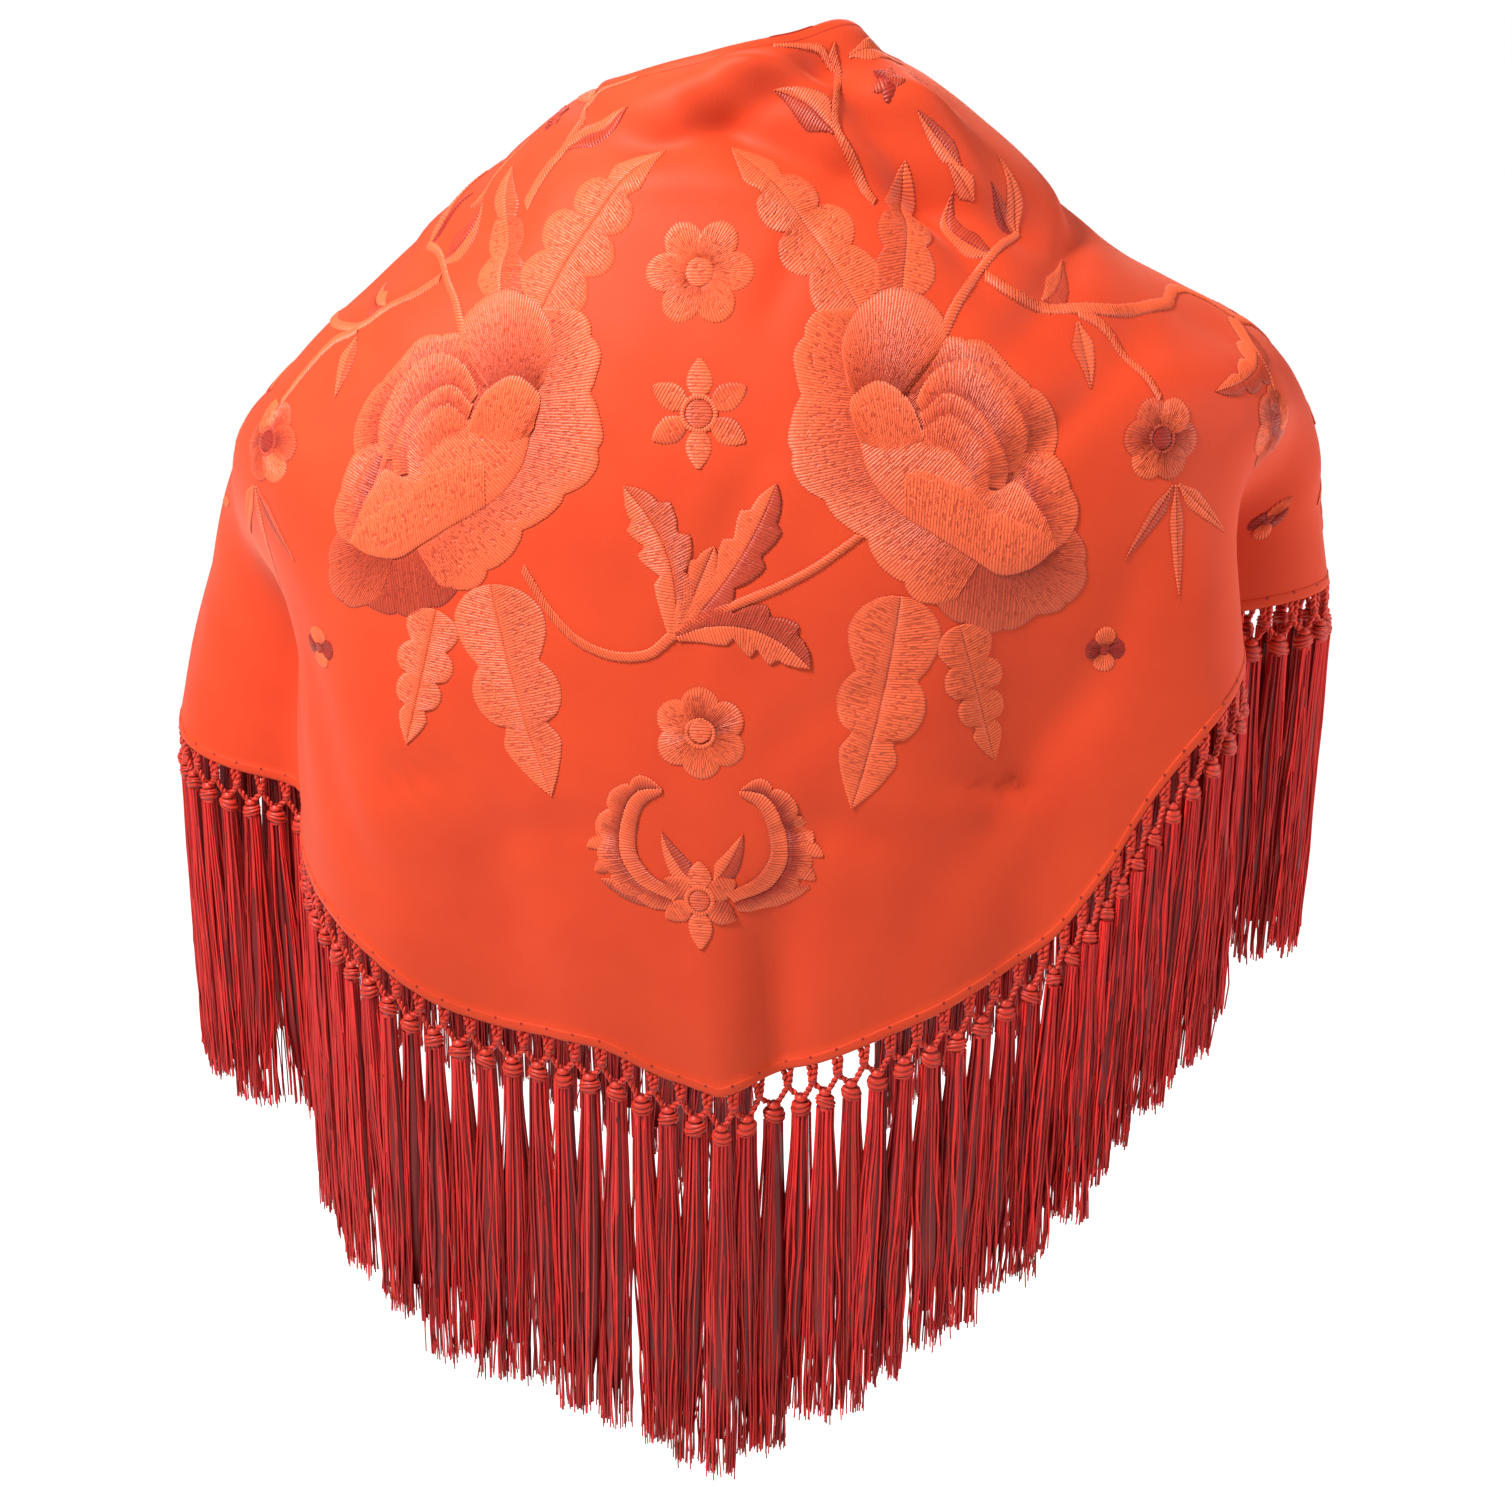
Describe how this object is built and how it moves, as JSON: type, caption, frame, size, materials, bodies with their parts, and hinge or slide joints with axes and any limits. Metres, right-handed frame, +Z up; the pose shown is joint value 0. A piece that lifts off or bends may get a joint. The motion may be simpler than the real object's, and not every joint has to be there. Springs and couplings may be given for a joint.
{
  "type": "flamenco shawl",
  "caption": "Triangular embroidered shawl draped over the shoulders, with a knotted fringe along its two short edges.",
  "frame": {"origin": "on the neck's axis, level with the shawl's edge at the nape", "axes": "+Z up, +Y towards the embroidered back, -Y towards the open front, +X towards the wearer's left"},
  "size_m": [0.5254, 0.283, 0.6426],
  "materials": {
    "orange_crepe": "matte crepe with satin-stitch embroidery",
    "red_silk_cord": "soft lustre of loose silky threads"
  },
  "bodies": {
    "root": {"shawl_cloth": "orange_crepe", "fringe_back_left": "red_silk_cord", "fringe_back_right": "red_silk_cord", "fringe_front_left": "red_silk_cord", "fringe_front_right": "red_silk_cord"}
  },
  "joints": []
}
